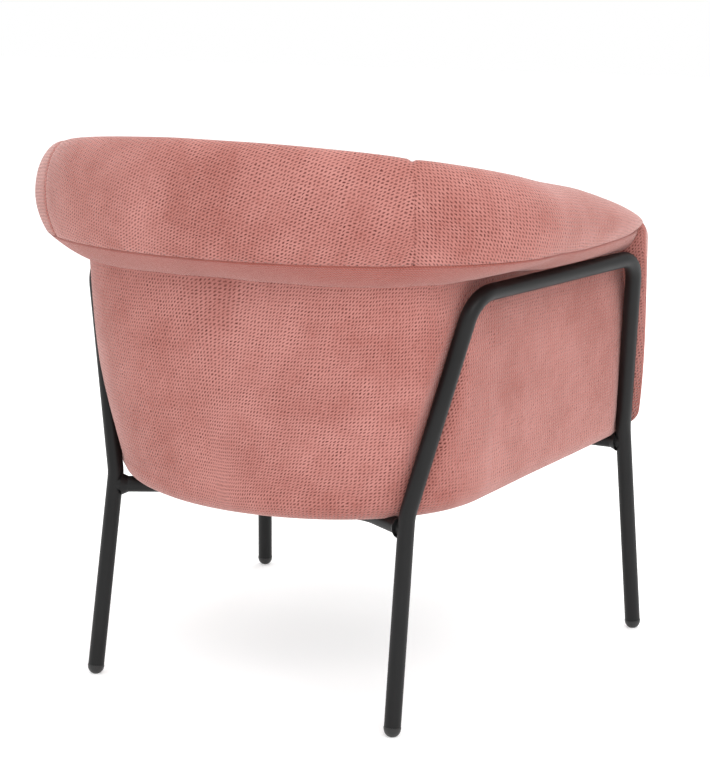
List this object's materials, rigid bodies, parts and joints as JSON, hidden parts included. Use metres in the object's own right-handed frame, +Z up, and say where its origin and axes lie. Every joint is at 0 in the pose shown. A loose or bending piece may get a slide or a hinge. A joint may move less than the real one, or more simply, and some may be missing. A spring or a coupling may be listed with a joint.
{
  "type": "armchair",
  "caption": "Upholstered tub armchair with a thick rolled rim round back and arms, a crowned seat and a slim bent steel tube frame on splayed legs",
  "frame": {"origin": "on the floor, below the middle of the chair's box", "axes": "+Z up, the chair faces -Y, +X is the sitter's left"},
  "size_m": [0.7964, 0.7361, 0.7494],
  "materials": {
    "frame_tube": "satin black powder coat",
    "foot_plastic": "black moulded plastic",
    "fastener_steel": "zinc-plated steel",
    "plywood": "raw birch plywood",
    "hardwood": "raw planed hardwood",
    "hardboard": "thin curved fibreboard",
    "spring_wire": "tempered spring wire",
    "felt": "grey needled felt",
    "foam": "upholstery foam and wadding",
    "cover_fabric": "dusty pink chunky knit",
    "strip_fabric": "dusty pink chunky knit, lying flat",
    "dust_cloth": "black non-woven cloth"
  },
  "bodies": {
    "root": {"side_frame_left": "frame_tube", "side_frame_right": "frame_tube", "front_cross_tube": "frame_tube", "rear_cross_tube": "frame_tube", "weld_beads": "frame_tube", "mounting_plates": "frame_tube", "foot_plugs": "foot_plastic", "base_bolts": "fastener_steel", "base_washers": "fastener_steel", "base_tee_nuts": "fastener_steel", "rim_screws": "fastener_steel", "base_board": "plywood", "rim_board": "plywood", "shell_ribs": "plywood", "arm_post_left": "hardwood", "arm_post_right": "hardwood", "front_rail": "hardwood", "back_rail": "hardwood", "side_rail_left": "hardwood", "side_rail_right": "hardwood", "corner_blocks": "hardwood", "shell_board": "hardboard", "seat_springs": "spring_wire", "spring_clips": "spring_wire", "spring_felt": "felt", "outer_wadding": "foam", "inner_wall_foam": "foam", "rim_foam_back": "foam", "rim_foam_left": "foam", "rim_foam_right": "foam", "arm_front_foam_left": "foam", "arm_front_foam_right": "foam", "seat_foam": "foam", "bottom_edge_roll": "foam", "outer_cover": "cover_fabric", "inner_cover": "cover_fabric", "rim_cover_back": "cover_fabric", "rim_cover_left": "cover_fabric", "rim_cover_right": "cover_fabric", "arm_front_cover_left": "cover_fabric", "arm_front_cover_right": "cover_fabric", "seat_cover": "cover_fabric", "front_border": "cover_fabric", "rim_underside": "strip_fabric", "dust_cover": "dust_cloth"}
  },
  "joints": []
}
